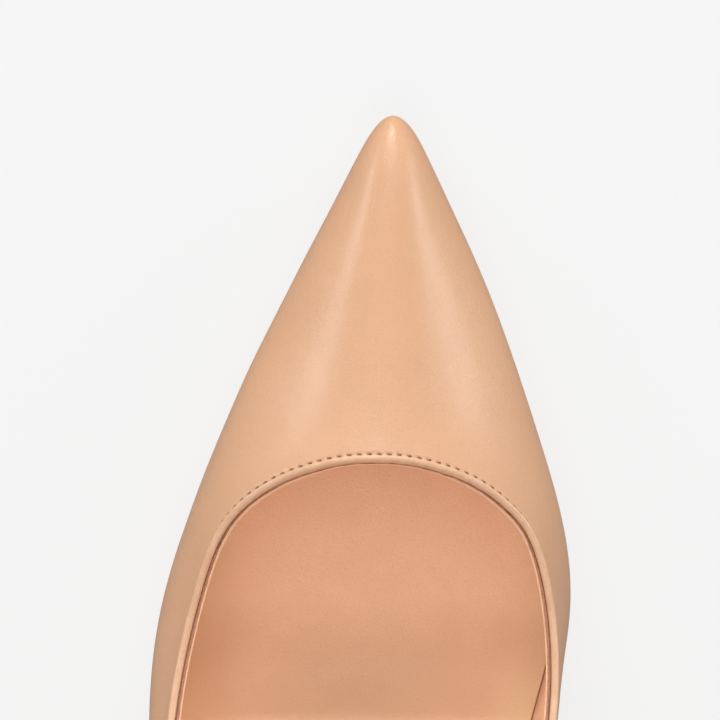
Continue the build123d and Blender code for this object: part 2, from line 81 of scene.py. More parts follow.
# ---- rails: outer side, inner side, from the toe tip to the back ----
TIP_BULGE, BACK_BULGE = (0.0, 0.0), (-7.0, 224.6)
BULGE_OUTER = [
    (-3.6, 2.5), (-7.1, 8.4), (-12.1, 18), (-19.0, 31.2), (-26.6, 46.4), (-33.3, 61.6),
    (-39.1, 76.8), (-43.7, 92), (-45.8, 107.2), (-45.6, 124), (-43.2, 141),
    (-39.8, 158), (-37.0, 174), (-35.8, 189), (-33.6, 204.5), (-24.6, 218.6)]
BULGE_INNER = [
    (3.6, 2.5), (6.9, 8.4), (11.4, 18), (17.3, 31.2), (23.0, 46.4), (27.9, 61.6),
    (32.1, 76.8), (33.6, 92), (31.2, 107.2), (27.0, 124), (23.8, 141),
    (21.4, 158), (20.6, 174), (21.4, 189), (19.6, 204.5), (10.6, 218.6)]

TIP_FEATHER, BACK_FEATHER = (0.0, 1.8), (-7.0, 221.5)
FEATHER_OUTER = [
    (-2.9, 4.2), (-6.2, 9.8), (-10.9, 19), (-17.2, 32), (-24.4, 47), (-31.0, 62),
    (-36.8, 77), (-41.0, 92), (-42.6, 107), (-41.0, 124), (-36.8, 141),
    (-32.8, 158), (-31.3, 174), (-32.0, 189), (-30.4, 204), (-22.6, 216.2)]
FEATHER_INNER = [
    (2.9, 4.2), (6.1, 9.8), (10.3, 19), (15.7, 32), (21.2, 47), (26.0, 62),
    (30.0, 77), (31.2, 92), (27.4, 107), (20.8, 124), (16.4, 141),
    (13.8, 158), (14.2, 174), (17.0, 189), (16.4, 204), (8.6, 216.2)]

TIP_TOPLINE, BACK_TOPLINE = (-3.4, 65.2, 38.5), (-7.0, 220.5, 143.0)
TOPLINE_OUTER = [
    (-7.2, 65.3, 38.4), (-11.4, 65.8, 38.1), (-15.9, 66.9, 37.5), (-20.7, 68.55, 36.6),
    (-25.7, 71.3, 35.5), (-30.45, 75.4, 34.2), (-34.5, 82.1, 33.0), (-38.0, 93, 32.4),
    (-41.1, 107.2, 36.0), (-42.7, 124, 46.5), (-41.7, 141, 63.0), (-38.8, 158, 81.5),
    (-35.9, 175, 99.5), (-33.7, 190, 114.5), (-29.8, 204, 127.5), (-20.9, 215.5, 138.0)]
TOPLINE_INNER = [
    (0.4, 65.3, 38.4), (4.4, 65.8, 38.1), (8.7, 66.8, 37.6), (13.1, 68.3, 36.9),
    (17.75, 70.7, 36.0), (22.2, 74.2, 35.0), (26.5, 79.9, 34.0), (29.7, 91.5, 34.0),
    (30.6, 107, 38.4), (28.9, 124, 49.5), (26.6, 141, 66.5), (23.9, 158, 84.5),
    (21.5, 175, 101.5), (19.4, 190, 116), (15.8, 204, 128.5), (6.9, 215.5, 138.4)]

# Angle above level at which the upper arrives at the topline, from the toe to the back.
ARRIVAL = [25, 26, 29, 34, 41, 49, 57, 65, 72, 77, 80, 82, 83, 83, 82, 80, 78, 77]
BACK = len(BULGE_OUTER) + 1  # station at the middle of the back
STATIONS = 2 * BACK  # stations all round


def unit(v):
    return v / np.linalg.norm(v, axis=-1, keepdims=True)


def distance_along(line):
    """Distance along a line of places from its first one to each of them."""
    return np.concatenate([[0], np.cumsum(np.linalg.norm(np.diff(line, axis=0), axis=1))])


def smooth_loop(knots):
    """A smooth closed curve through the rows of knots, one unit of t apart."""
    p = np.asarray(knots, float)
    n = len(p)
    one = np.eye(n)
    ahead, behind = np.roll(p, -1, 0), np.roll(p, 1, 0)
    beside = np.roll(one, 1, 0) + np.roll(one, -1, 0)
    bend = np.linalg.solve(4 * one + beside, 6 * (ahead - 2 * p + behind))

    def at(t):
        t = np.asarray(t, float) % n
        i = np.floor(t).astype(int) % n
        f = (t - np.floor(t))[..., None]
        g, j = 1 - f, (i + 1) % n
        return g * p[i] + f * p[j] + ((g**3 - g) * bend[i] + (f**3 - f) * bend[j]) / 6

    return at


def rail(tip, outer, back, inner):
    return smooth_loop([tip, *outer, back, *reversed(inner)])


bulge = rail(TIP_BULGE, BULGE_OUTER, BACK_BULGE, BULGE_INNER)
feather = rail(TIP_FEATHER, FEATHER_OUTER, BACK_FEATHER, FEATHER_INNER)
topline = rail(TIP_TOPLINE, TOPLINE_OUTER, BACK_TOPLINE, TOPLINE_INNER)
arrival = smooth_loop([[math.radians(a)] for a in [*ARRIVAL, *reversed(ARRIVAL[1:-1])]])

# ---- side profile of the sole ----
WAIST_KNOTS = [(TREAD_END, 0), (105, 2.5), (120, 11.2), (135, 26.0), (150, 43.2), (165, 59.8),
    (180, 73.8), (195, 84.2), (210, 91.2), (228, 96.4)]


def clamped_spline(knots):
    """A smooth curve z(d) through the knots, level at its first one."""
    d, z = np.array(knots, float).T
    step = np.diff(d)
    n = len(d)
    a, b = np.zeros((n, n)), np.zeros(n)
    a[0, :2], b[0] = (2 * step[0], step[0]), 6 * (z[1] - z[0]) / step[0]
    a[-1, -1] = 1
    for i in range(1, n - 1):
        a[i, i - 1:i + 2] = step[i - 1], 2 * (step[i - 1] + step[i]), step[i]
        b[i] = 6 * ((z[i + 1] - z[i]) / step[i] - (z[i] - z[i - 1]) / step[i - 1])
    bend = np.linalg.solve(a, b)

    def at(x):
        i = np.clip(np.searchsorted(d, x) - 1, 0, n - 2)
        h, f = step[i], (x - d[i]) / step[i]
        g = 1 - f
        return g * z[i] + f * z[i + 1] + ((g**3 - g) * bend[i] + (f**3 - f) * bend[i + 1]) * h * h / 6

    return at


waist = clamped_spline(WAIST_KNOTS)
PROFILE_D = np.concatenate([np.linspace(-8, TREAD_START, 31), np.linspace(TREAD_END, 236, 97)])


def ground_line(d):
    """Height of the outsole's underside."""
    toe = TOE_SPRING * np.clip(1 - d / TREAD_START, 0, None) ** 2
    behind = np.where(d > TREAD_END, waist(np.clip(d, TREAD_END, None)), 0.0)
    return np.where(d < TREAD_START, toe, behind)


def raised_line(height):
    """Points (d, z) of the ground line moved out by height along its own normal."""
    slope = (ground_line(PROFILE_D + 0.01) - ground_line(PROFILE_D - 0.01)) / 0.02
    size = np.hypot(1, slope)
    return PROFILE_D - height * slope / size, ground_line(PROFILE_D) + height / size


def bed(d, height):
    """Height above the ground, at d, of the layer that lies height above the outsole's underside."""
    return np.interp(d, *raised_line(height))


# ---- outer surface of the upper ----
def cubic(p0, p1, p2, p3, f):
    g = 1 - f
    return g**3 * p0 + 3 * g * g * f * p1 + 3 * g * f * f * p2 + f**3 * p3


def inward(t):
    """Level direction (x, d) in which the upper runs from its bulge towards the topline."""
    b, u = bulge(t), topline(t)[..., :2]
    along = bulge(np.asarray(t) + 0.02) - bulge(np.asarray(t) - 0.02)
    side = unit(np.stack([along[..., 1], -along[..., 0]], -1))
    return unit((u - b) + SQUARE_PULL * side)


def feather_place(t):
    """Where the wall turns under at the bottom."""
    f = feather(t)
    return np.concatenate([f, bed(f[..., 1], SOLE + GLUE)[..., None]], -1)


def margin_edge(t, depth, width):
    """Inner edge of the leather turned under the insole."""
    plan = feather(t) + inward(t) * width
    return np.concatenate([plan, bed(plan[..., 1], SOLE + GLUE + depth)[..., None]], -1)


def bulge_height(d):
    """Height of the widest line above the outsole's underside."""
    return BULGE_HIGH[0] + BULGE_HIGH[1] * np.clip(d / BULGE_BACK, 0, 1)


def bulge_place(t):
    """The widest place of the upper."""
    plan = bulge(t)
    high = ground_line(plan[..., 1]) + bulge_height(plan[..., 1])
    return np.concatenate([plan, high[..., None]], -1)


def wall(t, r):
    """Outer surface of the upper: r is 0 at the feather line, 1 at the bulge and 2 at the topline."""
    t, r = np.broadcast_arrays(np.asarray(t, float), np.asarray(r, float))
    way = np.concatenate([inward(t), np.zeros(t.shape + (1,))], -1)
    up = np.array([0, 0, 1.0])
    low, mid, top = feather_place(t), bulge_place(t), topline(t)
    reach = np.linalg.norm(mid - low, axis=-1, keepdims=True)
    flare = (up - way) / math.sqrt(2)
    f = np.clip(r, 0, 1)[..., None]
    below = cubic(low, low + 0.35 * reach * flare, mid - 0.4 * reach * up, mid, f)
    span = np.linalg.norm(top - mid, axis=-1, keepdims=True)
    angle = arrival(t)
    end_way = way * np.cos(angle) + up * np.sin(angle)
    f = np.clip(r - 1, 0, 1)[..., None]
    above = cubic(mid, mid + (6 + 0.05 * span) * up, top - 0.4 * span * end_way, top, f)
    return np.where((r < 1)[..., None], below, above)


def wall_normal(t, r):
    """Outward unit normal of the wall."""
    r = np.clip(np.asarray(r, float), 0.02, 1.98)
    along = wall(np.asarray(t) + 0.01, r) - wall(np.asarray(t) - 0.01, r)
    rise = wall(t, r + 0.01) - wall(t, r - 0.01)
    return unit(np.cross(rise, along))


def wall_inside(t, r, depth):
    """The surface that lies depth inside the outer one."""
    return wall(t, r) - np.asarray(depth)[..., None] * wall_normal(t, r)


# ---- helpers on arrays of stations ----
SKIN = wall(np.linspace(0, STATIONS, 681)[:, None], np.linspace(0, 2, 41))[..., :2].reshape(-1, 2)
MIDDLE_X, MIDDLE_D = (SKIN.min(0) + SKIN.max(0)) / 2


def to_frame(p):
    p = np.asarray(p, float)
    return np.stack([p[..., 0] - MIDDLE_X, MIDDLE_D - p[..., 1], p[..., 2]], -1) / 1000


def near_top(t, distance):
    """The wall's r at a distance below the topline."""
    arc_per_chord = 1.2
    return 2 - distance / (arc_per_chord * np.linalg.norm(topline(t) - bulge_place(t), axis=-1))


def meeting(t, depth, height):
    """The r at which a surface depth inside the wall meets the layer line at height."""
    r = np.linspace(0, 1.6, 97)
    inside = wall_inside(np.asarray(t)[:, None], r, depth)
    above = inside[..., 2] - bed(inside[..., 1], height)
    k = np.maximum(np.argmax(above > 1e-9, axis=1), 1)
    row = np.arange(len(k))
    a, b = above[row, k - 1], above[row, k]
    found = r[k - 1] + (r[k] - r[k - 1]) * np.clip(a / (a - b), 0, 1)
    return np.where(above[:, 0] > 0, 0.0, found)


FINE_T = np.linspace(-BACK, STATIONS, 12001)
EDGE_LINE = wall(FINE_T, near_top(FINE_T, 2.0))
EDGE_RUN = distance_along(EDGE_LINE)
EDGE_RUN -= np.interp(0, FINE_T, EDGE_RUN)


def run_of(t):
    """Distance along the topline, in mm, from the middle of the throat."""
    return np.interp(t, FINE_T, EDGE_RUN)


def station_of(run):
    return np.interp(run, EDGE_RUN, FINE_T)


ROUND = run_of(BACK) - run_of(-BACK)
STITCH_COUNT = round(ROUND / 1.9)  # about 1.9 mm apart
STITCH_PITCH = ROUND / STITCH_COUNT


def wave(p, size, seed):
    """A smooth random value from -1 to 1 for places p, with bumps about size mm across."""
    rng = np.random.default_rng(seed)
    ways = rng.normal(size=(9, 3))
    ways *= (2 * np.pi / size / np.linalg.norm(ways, axis=1) * rng.uniform(0.6, 1.5, 9))[:, None]
    return np.sin(p @ ways.T + rng.uniform(0, 2 * np.pi, 9)).sum(-1) / 4.5


# ---- meshes ----
def make_mesh(name, places, node, slot, body="shoe", sharp=40, faces=None, values=None, cut_faces=None):
    """A piece in its slot's look that stands for a CAD node and rides on a body.

    values holds numbers for each point, which the looks read. cut_faces has 1 for each face of a cut edge.
    """
    faces = faces or tube_faces(*np.shape(places)[:2])
    mesh = bpy.data.meshes.new(name)
    mesh.from_pydata(to_frame(places).reshape(-1, 3).tolist(), [], faces)
    piece = bpy.data.objects.new(name, mesh)
    bpy.context.scene.collection.objects.link(piece)
    mesh.materials.append(LOOKS[slot])
    if cut_faces:
        mesh.materials.append(LOOKS["raw_edge"])
        mesh.polygons.foreach_set("material_index", np.asarray(cut_faces, np.int32))
    for key, value in (values or {}).items():
        numbers = np.asarray(value, np.float32).ravel()
        mesh.attributes.new(key, "FLOAT", "POINT").data.foreach_set("value", numbers)
    work = bmesh.new()
    work.from_mesh(mesh)
    bmesh.ops.recalc_face_normals(work, faces=work.faces)
    work.to_mesh(mesh)
    work.free()
    mesh.shade_smooth()
    if sharp:
        mesh.set_sharp_from_angle(angle=math.radians(sharp))
    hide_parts(node)
    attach(piece, body)
    return piece


def tube_faces(rows, columns, closed=False):
    """Faces of a tube: rows of points go round each section, columns follow one another along it.

    The tube has a cap at each end, or its last column joins its first where it is closed.
    """
    def at(i, j):
        return (i % rows) * columns + j % columns

    last = columns if closed else columns - 1
    faces = [(at(i, j), at(i, j + 1), at(i + 1, j + 1), at(i + 1, j))
             for i in range(rows) for j in range(last)]
    if not closed:
        faces.append(tuple(at(i, 0) for i in range(rows)))
        faces.append(tuple(at(i, columns - 1) for i in reversed(range(rows))))
    return faces


def columns_between(start, end, spacing):
    """Stations from start to end, evenly spaced along the topline and closer together near both ends."""
    a, b = run_of(start), run_of(end)
    near_end = np.array([0.0, 0.1, 0.22, 0.36, 0.52, 0.7])
    inner = np.linspace(a + 1.0, b - 1.0, round((b - a - 2) / spacing) + 1)
    runs = np.concatenate([a + near_end, inner, b - near_end[::-1]])
    t = station_of(runs)
    t[0], t[-1] = start, end
    return t


def seam_dip(ts, rows_r):
    """How far each point sinks beside the seams at both ends, in mm, as rows by columns."""
    dip = np.zeros((len(rows_r), len(ts)))
    for end in (ts[0], ts[-1]):
        for i, r in enumerate(rows_r):
            speed = np.linalg.norm(wall(np.array(end + 0.01), r) - wall(np.array(end - 0.01), r)) / 0.02
            near = np.clip(1 - np.abs(ts - end) * speed / SEAM_WIDE, 0, 1)
            dip[i] += SEAM_DEEP * (1 - np.sqrt(1 - near**2))
    return dip


# ---- upper ----
SEAM = 11.4  # station of the side seams
SEAM_GAP = 0.004  # stations between a seam and the leather's edge
SEAM_WIDE, SEAM_DEEP = 0.7, 0.42  # how the leather rolls over at a seam
BEAD = 0.70  # where the turned edge begins to roll over, below the topline
BEAD_RISE, BEAD_AT, BEAD_WIDE = 0.12, 0.62, 0.42  # fullness of the turned edge
COLUMN = STITCH_PITCH / 6  # spacing of the columns along the topline
STITCH_LINE = 1.42  # stitch row, below the topline
STITCH_FADE = (5.0, 7.2)  # stations over which the stitches sink out of sight towards the sides
STITCH_SLANT = 0.11  # how far each stitch's slot leans across the row, to either side
SLOT_WIDE, SLOT_DEEP = 0.19, 0.24  # slot that each stitch presses into the leather
PULL_WIDE, PULL_DEEP = 0.45, 0.05  # shallow groove of the whole row
SIDE_SINK = 0.11  # how much deeper the stitches lie on the sides
THREAD = 0.15  # radius of the thread


def on_sides(t, near, far):
    """0 round the throat and 1 on the sides, with a smooth change from station near to station far."""
    away = np.abs((np.asarray(t) + BACK) % STATIONS - BACK)
    share = np.clip((away - near) / (far - near), 0, 1)
    return share * share * (3 - 2 * share)


def upper_piece(name, start, end, node):
    """A piece of the upper: its outer side up to the turned edge, and its inner side back down."""
    ts = columns_between(start + SEAM_GAP, end - SEAM_GAP, COLUMN)
    phase = (run_of(ts) - EDGE_RUN[0]) / STITCH_PITCH * 2 * np.pi
    rows, bead, groove_shade = [], [], []

    def add(points, bead_share=0.0, groove_shade_share=0.0):
        rows.append(points)
        bead.append(np.broadcast_to(bead_share, ts.shape))
        groove_shade.append(np.broadcast_to(groove_shade_share, ts.shape))

    for width in (12.0, 9.0, 6.0, 3.0, 1.2, 0.4):
        add(margin_edge(ts, 0.0, width))
    r_rows = [0.0, 0.03, 0.08, 0.15, 0.23, 0.32, 0.42, 0.52, 0.62, 0.72, 0.82, 0.91]
    top_r = near_top(ts, 6.0)
    outer = [np.full_like(ts, r) for r in r_rows] + [1 + (top_r - 1) * f for f in np.linspace(0, 1, 27)]
    for r, dip in zip(outer, seam_dip(ts, [float(np.mean(r)) for r in outer])):
        soft = 0.05 * wave(wall_inside(ts, r, 0.0), 26.0, 3)
        add(wall_inside(ts, r, dip + soft))
    stitched = [1.72 - 0.1 * k for k in range(9)]
    s_rows = [5.2, 4.5, 3.9, 3.4, 3.0, 2.7, 2.45, 2.25, 2.1, 1.95, 1.82, *stitched, 0.8, BEAD]
    edge_dip = seam_dip(ts, [1.97])[0]
    middle = -np.cos(phase)
    dive = np.clip((middle + 0.15) / 0.65, 0, 1)
    turn = STITCH_SLANT * np.sin(phase)
    tight = 1 - 0.75 * on_sides(ts, *STITCH_FADE)
    for s in s_rows:
        across = s - STITCH_LINE + turn
        slot = np.exp(-(across / SLOT_WIDE) ** 2) * dive * tight
        pull = PULL_DEEP * math.exp(-((s - STITCH_LINE) / PULL_WIDE) ** 2)
        rise = BEAD_RISE * math.exp(-((s - BEAD_AT) / BEAD_WIDE) ** 2)
        depth = SLOT_DEEP * slot + pull - rise * (1 - 0.12 * middle) + edge_dip
        # share marks the rows near the turned edge, which get the paler tone of rub wear and painted
        # highlight.
        share = float(np.clip((1.30 - s) / 0.35, 0, 1))
        add(wall_inside(ts, near_top(ts, s), depth), share, slot)
    # The fold's rows get that share in full on top and less on its inner underside, so the painted highlight
    # follows the light.
    for a in np.radians(np.linspace(15, 180, 12)):
        s = BEAD - BEAD * math.sin(a)
        lift = 0.11 * (1 + math.cos(a)) / 2
        depth = FOLD / 2 - (FOLD / 2 + lift) * math.cos(a) + edge_dip * 0.6
        add(wall_inside(ts, near_top(ts, s), depth), 1.0 - 0.25 * max(0.0, -math.cos(a)))
    for s in (1.2, 2.0, 3.0, 4.0, 4.8):
        add(wall_inside(ts, near_top(ts, s), FOLD), 0.3)
    low = meeting(ts, UPPER, SOLE + GLUE + UPPER)
    for s in (5.0, 6.5):
        add(wall_inside(ts, near_top(ts, s), UPPER))
    for f in np.linspace(1, 0, 14):
        add(wall_inside(ts, low + (near_top(ts, 8.0) - low) * f, UPPER))
    for width in (0.9, 3.0, 6.0, 9.0, 12.0):
        add(margin_edge(ts, UPPER, width))
    # The values mark the turned edge, for its paler tone, and the stitch slots, for painted shade.
    values = {"bead": np.array(bead), "groove_shade": np.array(groove_shade)}
    make_mesh(name, rows, node, "upper_leather", values=values)


def stitches():
    """A row of stitches, each a short slanted capsule that dives into the leather at both ends."""
    count = STITCH_COUNT
    centres = EDGE_RUN[0] + (np.arange(count) + 0.5) * STITCH_PITCH
    rng = np.random.default_rng(11)
    along = np.array([-0.52, -0.48, -0.38, -0.20, 0.0, 0.20, 0.38, 0.48, 0.52])
    height = np.array([-0.50, -0.34, -0.22, -0.15, -0.13, -0.15, -0.22, -0.34, -0.50])
    slant = 0.14 + 0.03 * rng.normal(size=count)
    length = 1 + 0.06 * rng.normal(size=count)
    runs = centres[:, None] + along * length[:, None]
    line = STITCH_LINE - slant[:, None] * along / 0.5
    t = station_of(runs)
    r = near_top(t, line)
    middle = wall_inside(t, r, SIDE_SINK * on_sides(t, *STITCH_FADE) - height)
    normal = wall_normal(t, r)
    tangent = unit(np.gradient(middle, axis=1))
    side = unit(np.cross(tangent, normal))
    up = np.cross(side, tangent)
    sides = 8
    turn = np.linspace(0, 2 * np.pi, sides, endpoint=False)[:, None]
    swell = np.array([0.75, 0.9, 1, 1, 1, 1, 1, 0.9, 0.75])
    ring = side[..., None, :] * np.cos(turn) * 1.05 + up[..., None, :] * np.sin(turn) * 0.9
    places = middle[..., None, :] + ring * (THREAD * swell)[None, :, None, None]
    size = sides * len(along)
    one = tube_faces(sides, len(along))
    faces = [tuple(k * size + corner for corner in face) for k in range(count) for face in one]
    make_mesh("topline_stitches", places.swapaxes(1, 2), "topline_stitching", "thread", sharp=0, faces=faces)


# ---- lining ----
LINING_SEAM = 11.0  # station of the lining's seams
LINING_COLUMN = 0.5  # spacing of its columns along the topline
CUT_TOP = 1.58  # depth at which the cut edge starts, inside the upper's outer surface
THROAT_RISE = 0.36  # how much nearer to the topline the lining ends round the throat
GRIP_SPAN = (24.0, 4.0)  # heel grip, lower and upper edge below the topline
GRIP_THICK, GRIP_ROUND = 0.48, 1.3  # its thickness, and the width over which its edges thin out
GRIP_START = 14.4  # station of its front edge


def lining_piece(name, start, end, node):
    """A piece of lining: its outer side, the bare cut edge, and its inner side back down."""
    ts = columns_between(start + SEAM_GAP, end - SEAM_GAP, LINING_COLUMN)
    rows, is_cut = [], []

    def add(points, cut_edge=False):
        rows.append(points)
        is_cut.append(cut_edge)

    for width in (10.0, 5.0):
        add(margin_edge(ts, LINING_TOP, width))
    low = meeting(ts, LINING_TOP, SOLE + GLUE + LINING_TOP)
    high = near_top(ts, 2.0)
    for f in np.linspace(0, 1, 14):
        add(wall_inside(ts, low + (high - low) * f, LINING_TOP))
    fuzz = np.random.default_rng(5).normal(size=(8, len(ts)))
    fuzz = (fuzz + np.roll(fuzz, 1, 1)) * 0.03
    proud = THROAT_RISE * (1 - on_sides(ts, 5.5, 9.0))
    bare = on_sides(ts, 5.0, 8.6)
    cut = [(0.85, 1.60), (0.60, 1.58), (0.50, 1.68), (0.47, 1.80), (0.48, 1.93), (0.47, 2.05)]
    for k, (s, depth) in enumerate(cut):
        depth = CUT_TOP + (depth - CUT_TOP) * bare
        add(wall_inside(ts, near_top(ts, s - proud + fuzz[k]), depth + 0.5 * fuzz[(k + 3) % 6]), k > 0)
    for s, depth in ((0.44, 2.10), (0.42, 2.18), (0.45, 2.28), (0.54, 2.36), (0.70, 2.40)):
        add(wall_inside(ts, near_top(ts, s - proud + 0.3 * fuzz[6]), depth))
    for s in (0.95, 1.3, 2.0, 3.2, 4.8):
        add(wall_inside(ts, near_top(ts, s), LINING))
    low = meeting(ts, LINING, SOLE + GLUE + LINING)
    for f in np.linspace(1, 0, 30):
        r = low + (near_top(ts, 6.5) - low) * f
        base = wall_inside(ts, r, LINING)
        add(wall_inside(ts, r, LINING - 0.06 * wave(base, 17.0, 8) * math.sin(math.pi * f)))
    for width in (0.9, 3.0, 6.0, 10.0):
        add(margin_edge(ts, LINING, width))
    cut_faces = []
    for here, after in zip(is_cut, is_cut[1:] + is_cut[:1]):
        cut_faces += [int(here and after)] * (len(ts) - 1)
    caps = [0, 0]
    make_mesh(name, rows, node, "lining_leather", sharp=50, cut_faces=cut_faces + caps)


def heel_grip():
    """A suede pad that follows the lining round the back, thin along all its edges."""
    low, high = GRIP_SPAN
    ts = np.linspace(GRIP_START, STATIONS - GRIP_START, 220)
    along = distance_along(wall_inside(ts, near_top(ts, 14.0), LINING))
    from_end = np.minimum(along, along[-1] - along)
    distances = np.linspace(low, high, 44)
    rows = []
    for top_side, order in ((False, distances), (True, distances[::-1])):
        for s in order:
            trim = np.minimum(min(low - s, s - high), from_end)
            thick = GRIP_THICK * np.sqrt(np.clip(trim / GRIP_ROUND, 0, 1)) + 0.02
            r = near_top(ts, s)
            fluff = 0.03 * wave(wall_inside(ts, r, LINING), 3.0, 31)
            depth = LINING + GLUE + (thick + fluff * thick if top_side else 0.0)
            rows.append(wall_inside(ts, r, depth))
    make_mesh("heel_grip_suede", rows, "heel_grip", "suede", sharp=60)


# ---- foot bed and outsole ----
BREAST_STATION = 12.8  # station of the heel's front face
PAD_SPLIT = 128.0  # behind the toe tip, where the forefoot pad ends and the heel pad begins
CHANNEL = 3.4  # closed channel in the sole, from its edge
TREAD_CENTRE, TREAD_SIZE = (-5, 72), (24, 26)  # (x, d) of the patch that meets the ground

# bed() worked out beforehand on an even grid: a row for each layer height, a column for each d.
GRID_STEP = 0.25
GRID_D, GRID_HEIGHT = -6.0, -1.0
BED_TABLE = np.array([bed(GRID_D + GRID_STEP * np.arange(961), GRID_HEIGHT + GRID_STEP * row)
                      for row in range(61)])


def bed_at(d, height):
    """bed() for a different height at each d."""
    i = np.clip((np.asarray(d) - GRID_D) / GRID_STEP, 0, BED_TABLE.shape[1] - 1.001)
    j = np.clip((np.asarray(height) - GRID_HEIGHT) / GRID_STEP, 0, BED_TABLE.shape[0] - 1.001)
    a, b = i.astype(int), j.astype(int)
    fi, fj = i - a, j - b
    return ((1 - fj) * ((1 - fi) * BED_TABLE[b, a] + fi * BED_TABLE[b, a + 1])
            + fj * ((1 - fi) * BED_TABLE[b + 1, a] + fi * BED_TABLE[b + 1, a + 1]))


def inside_outline(height, clearance):
    """Outline (x, d) of a layer that fits inside the lining, its toe cut blunt."""
    blunt = 1.0
    t = np.linspace(blunt, STATIONS - blunt, 1201)
    depth = LINING + clearance
    return wall_inside(t, meeting(t, depth, height), depth)[:, :2]


def distance_to(points, outline):
    """Shortest distance from each point to a closed outline, both (x, d)."""
    corners = outline[::3]
    best = np.full(len(points), 1e9)
    for p, q in zip(corners, np.roll(corners, -1, 0)):
        way = q - p
        f = np.clip(((points - p) @ way) / max(way @ way, 1e-12), 0, 1)
        best = np.minimum(best, np.linalg.norm(points - p - f[:, None] * way, axis=1))
    return best


def bed_slab(name, outline, low, high, start, end, node, slot, edge, low_edge, top_of=None, bow=0.0):
    """A layer between two layer heights, inside an outline and between two values of d.

    edge and low_edge are the radii of its rounded edges. top_of(places, distance to the edge) raises its
    top, and its end is bowed out by bow in the middle.
    """
    rows, across = 250, 76
    half = len(outline) // 2
    f = np.linspace(0, 1, rows)
    d = start + (end - start) * (0.5 - 0.5 * np.cos(np.pi * f))

    def side(line):
        order = np.argsort(line[:, 1], kind="stable")
        return np.interp(d, line[order, 1], line[order, 0])

    x0, x1 = side(outline[:half + 1]), side(outline[half:])
    u = np.linspace(-1, 1, across)
    u = np.sign(u) * (1 - (1 - np.abs(u)) ** 1.7)
    x = (x0 + x1)[:, None] / 2 + (x1 - x0)[:, None] / 2 * u
    straight = np.broadcast_to(d[:, None], x.shape)
    bowed = straight + bow * (1 - u * u) * np.clip((straight - end) / 6 + 1, 0, 1) ** 2
    flat = np.stack([x, bowed], -1).reshape(-1, 2)
    rim = distance_to(flat, outline)
    rim = np.minimum(rim, np.minimum(straight - start, end - straight).ravel())

    def rounding(radius):
        return radius * (1 - np.sqrt(1 - np.clip(1 - rim / radius, 0, 1) ** 2))

    top = high + (top_of(flat, rim) if top_of else 0.0) - rounding(edge)
    base = low + rounding(low_edge)
    upper = np.column_stack([flat, bed_at(flat[:, 1], top)]).reshape(rows, across, 3)
    lower = np.column_stack([flat, bed_at(flat[:, 1], base)]).reshape(rows, across, 3)
    grid = np.concatenate([upper, lower[:, ::-1]], axis=1).transpose(1, 0, 2)
    rim = rim.reshape(rows, across)
    off_tread = (grid[..., :2] - TREAD_CENTRE) / TREAD_SIZE
    values = {"rim": np.concatenate([rim, rim[:, ::-1]], axis=1).T, "tread": np.exp(-(off_tread**2).sum(-1))}
    return make_mesh(name, grid, node, slot, sharp=60, values=values)


def soft_top(depth, seed):
    """A gently crowned top with the slow unevenness of a padded layer."""
    def rise(places, rim):
        crown = depth * np.clip(rim / 12, 0, 1) ** 0.7 - depth
        return crown + 0.06 * wave(np.column_stack([places, 0 * rim]), 21.0, seed)
    return rise


def foot_bed():
    """The two foam pads and the leather sock that covers them."""
    base = BOARD_HIGH + GLUE
    line = inside_outline(base, 0.4)
    front, back = line[:, 1].min(), line[:, 1].max()
    halves = (("forefoot_pad", front, PAD_SPLIT, 41), ("heel_pad", PAD_SPLIT + 0.2, back, 42))
    for name, start, end, seed in halves:
        pad = bed_slab(name + "_foam", line, base, PAD_HIGH, start, end, name, "foam",
                       edge=0.7, low_edge=0.3, top_of=soft_top(0.10, seed))
    base = PAD_HIGH + GLUE
    line = inside_outline(base, 0.04)
    front, back = line[:, 1].min(), line[:, 1].max()
    sock = bed_slab("sock_leather", line, base, SOCK_HIGH, front, back, "sock_lining", "sock_leather",
                    edge=0.2, low_edge=0.15, top_of=soft_top(0.08, 43))


def outsole():
    """The sole, which stands a little proud of the upper and runs back to the heel's front face."""
    t = np.linspace(0.06 - BREAST_STATION, BREAST_STATION - 0.06, 1201)
    line = feather(t) - 0.5 * inward(t)
    start, end = line[:, 1].min(), line[:, 1].max() + 0.95
    past_breast = (0, 2.4)
    first, last = [np.tile(corner + past_breast, (3, 1)) for corner in (line[0], line[-1])]
    bed_slab("outsole_leather", np.vstack([first, line, last]), 0.0, SOLE, start, end, "outsole",
             "sole_leather", edge=0.35, low_edge=0.6, bow=0.72)


# ---- heel ----
HEEL_X = -7.4  # middle of the heel, across
HEEL_WRAP = 0.7  # its leather cover
SEAT_HALF = 24.7  # half width at the seat
TOP_PIECE = 5.0  # height of the top piece
TIP_HALF, TIP_FRONT, TIP_LONG = 5.3, 204.9, 10.6  # its half width, front edge and length
KNOTS = 13  # knots round the back of a section
AROUND, ACROSS = 130, 54  # mesh points round the back and across the breast
LEVELS = 110  # mesh rows from the seat down to the tip

# Each section: its front and back place (d, z), half width, and share of the tip's shape in it.
HEEL_SECTIONS = [
    ((171.0, 75.0), (221.5, 105.0), SEAT_HALF, 0.0),
    ((171.0, 68.5), (221.5, 98.5), SEAT_HALF, 0.0),
    ((180.0, 61.5), (219.4, 87.5), 19.6, 0.15),
    ((190.0, 53.5), (217.6, 74.0), 13.4, 0.4),
    ((197.6, 43.5), (216.4, 60.0), 9.3, 0.65),
    ((202.4, 32.0), (215.7, 44.0), 6.9, 0.85),
    ((204.6, 18.5), (215.3, 24.0), 5.6, 1.0),
    ((205.2, TOP_PIECE + GLUE), (215.2, TOP_PIECE + GLUE), 5.1, 1.0)]


